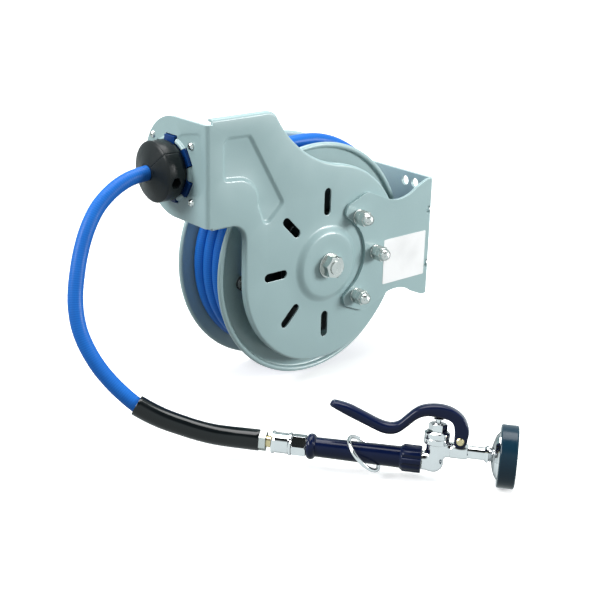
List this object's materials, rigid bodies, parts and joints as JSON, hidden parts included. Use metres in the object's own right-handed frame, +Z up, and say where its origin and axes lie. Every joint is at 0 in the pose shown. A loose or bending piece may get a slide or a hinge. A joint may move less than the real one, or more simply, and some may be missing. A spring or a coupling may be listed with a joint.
{
  "type": "spring-rewind hose reel with spray valve",
  "caption": "Wall-mounted open hose reel with a sprung drum of blue rubber hose, a ball stop at its guide and a squeeze-lever spray valve on the end",
  "frame": {"origin": "middle of the base plate's wall face", "axes": "+X out of the base plate's face, into the wall; +Z up; Y along the drum's axle"},
  "size_m": [0.4945, 0.4674, 0.3343],
  "materials": {
    "frame_paint": "smooth",
    "zinc_steel": "satin",
    "dark_steel": "satin",
    "bush_bronze": "satin",
    "brass": "satin",
    "chrome": "polished",
    "hose_rubber": "satin",
    "black_rubber": "matt",
    "bumper_rubber": "satin",
    "navy_grip": "satin",
    "blue_plastic": "satin",
    "black_plastic": "satin",
    "white_film": "satin",
    "face_plastic": "satin"
  },
  "bodies": {
    "frame": {"mounting_bracket": "frame_paint", "frame_plate": "frame_paint", "bracket_bolts": "zinc_steel", "bracket_washers": "zinc_steel", "bracket_nuts": "zinc_steel", "bracket_cap_nuts": "zinc_steel", "label_plate": "white_film", "axle": "zinc_steel", "axle_washer": "zinc_steel", "axle_nut": "zinc_steel", "axle_ring": "zinc_steel", "pawl_pin": "zinc_steel", "pawl_spring": "dark_steel", "hose_lead": "hose_rubber", "hose_guide": "blue_plastic", "guide_screws": "zinc_steel", "guide_nuts": "zinc_steel", "ball_stop_lower": "black_plastic", "ball_stop_upper": "black_plastic", "ball_stop_bolts": "dark_steel", "ball_stop_nuts": "dark_steel", "hose_free": "hose_rubber", "bend_sleeve": "black_rubber", "hose_ferrule": "zinc_steel", "hose_nipple": "brass", "swivel_spool": "chrome"},
    "drum": {"near_flange": "frame_paint", "far_flange": "frame_paint", "drum_barrel": "frame_paint", "drum_bolts": "zinc_steel", "spring_case": "frame_paint", "main_spring": "dark_steel", "ratchet_ring": "dark_steel", "near_bush": "bush_bronze", "far_bush": "bush_bronze", "swivel_housing": "brass", "swivel_seals": "black_rubber", "outlet_elbow": "brass", "hose_core": "hose_rubber", "hose_winding": "hose_rubber"},
    "pawl_body": {"pawl": "dark_steel"},
    "valve": {"valve_adapter": "chrome", "grip_tube": "zinc_steel", "grip": "navy_grip", "grip_collar": "navy_grip", "valve_body": "chrome", "bonnet": "chrome", "bonnet_gland": "chrome", "stem_spring": "chrome", "lever_screw": "chrome", "spray_neck": "chrome", "head_shell": "chrome", "spray_face": "face_plastic", "face_screw": "chrome", "bumper": "bumper_rubber"},
    "lever_body": {"lever": "navy_grip"},
    "stem_body": {"stem": "chrome"},
    "ring_body": {"hold_ring": "chrome"}
  },
  "joints": [
    {"name": "drum_spin", "type": "hinge", "parent": "frame", "child": "drum", "pos_m": [-0.171, 0, -0.004], "axis": [0, 1, 0], "continuous": true, "deforming": ["hose_lead", "main_spring"]},
    {"name": "pawl_pivot", "type": "hinge", "parent": "frame", "child": "pawl_body", "pos_m": [-0.27985, -0.0443, -0.00971], "axis": [0, 1, 0], "range_deg": [0, 40], "deforming": ["pawl_spring"]},
    {"name": "valve_swivel", "type": "hinge", "parent": "frame", "child": "valve", "pos_m": [-0.34425, -0.21037, -0.1245], "axis": [0.6466, -0.7624, -0.0244], "continuous": true},
    {"name": "lever_squeeze", "type": "hinge", "parent": "valve", "child": "lever_body", "pos_m": [-0.22982, -0.3376, -0.10417], "axis": [-0.7442, -0.6375, 0.1993], "range_deg": [0, 7.5], "stiffness_Nm_per_rad": 1.5},
    {"name": "stem_slide", "type": "slide", "parent": "valve", "child": "stem_body", "axis": [-0.1675, -0.1107, -0.9796], "range_m": [0, 0.0035], "deforming": ["stem_spring"]},
    {"name": "ring_slide", "type": "slide", "parent": "valve", "child": "ring_body", "axis": [0.6466, -0.7624, -0.0244], "range_m": [-0.02, 0.008]}
  ],
  "couplings": [
    {"joint": "stem_slide", "follows": "lever_squeeze", "m_per_rad": 0.0256}
  ]
}
